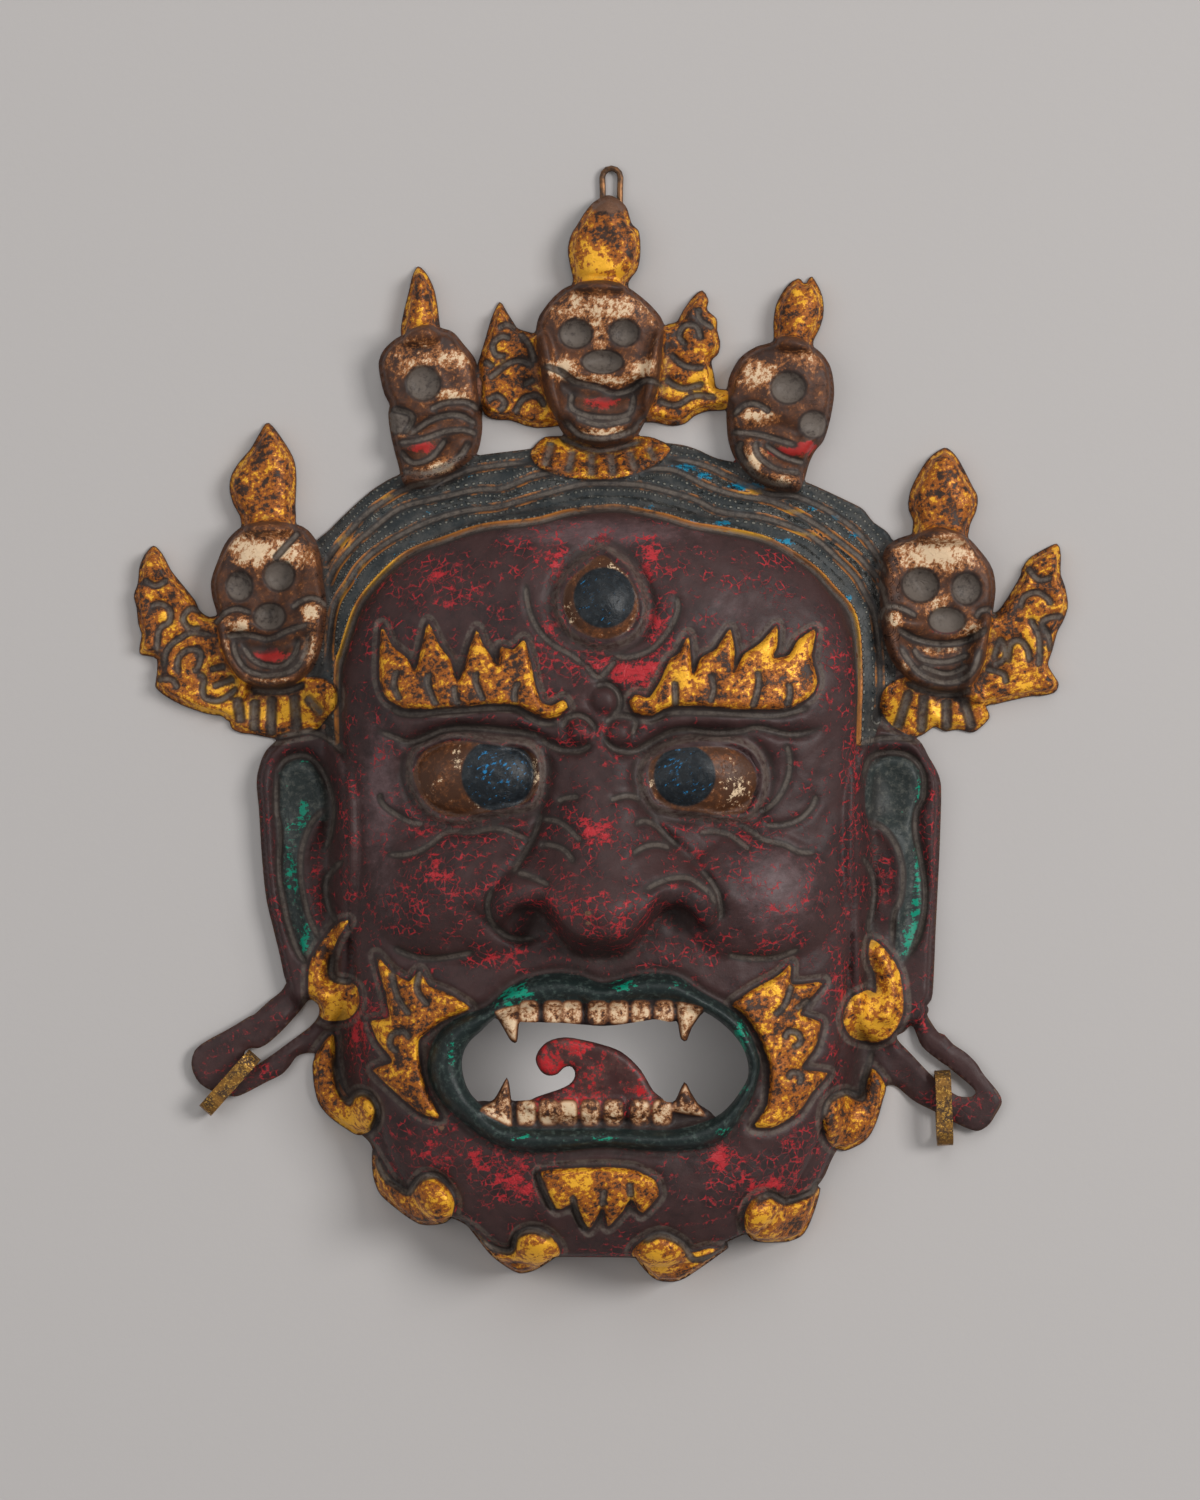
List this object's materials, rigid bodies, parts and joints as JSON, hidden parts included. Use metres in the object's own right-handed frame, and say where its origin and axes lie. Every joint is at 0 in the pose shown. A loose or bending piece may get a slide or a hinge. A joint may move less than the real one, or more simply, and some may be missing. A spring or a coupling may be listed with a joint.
{
  "type": "cham mask",
  "caption": "Embossed copper face mask with an open fanged mouth, a crown of skulls, long slotted ear lobes hung with strip earrings, and a wire loop to hang it by.",
  "frame": {"origin": "on the plane of the rim's back, in the middle of the part's width and height", "axes": "+Z from the back out through the face, +Y up the face to the crown and the hanging loop, +X to the right of someone looking at the face"},
  "size_m": [0.2984, 0.3564, 0.062],
  "materials": {
    "painted_sheet": "worn matt paint and gilding over embossed copper",
    "earring_metal": "dull, pitted and tarnished",
    "loop_wire": "bare tarnished copper wire"
  },
  "bodies": {
    "root": {"mask_sheet": "painted_sheet", "earring_left": "earring_metal", "earring_right": "earring_metal", "hanging_loop": "loop_wire"}
  },
  "joints": []
}
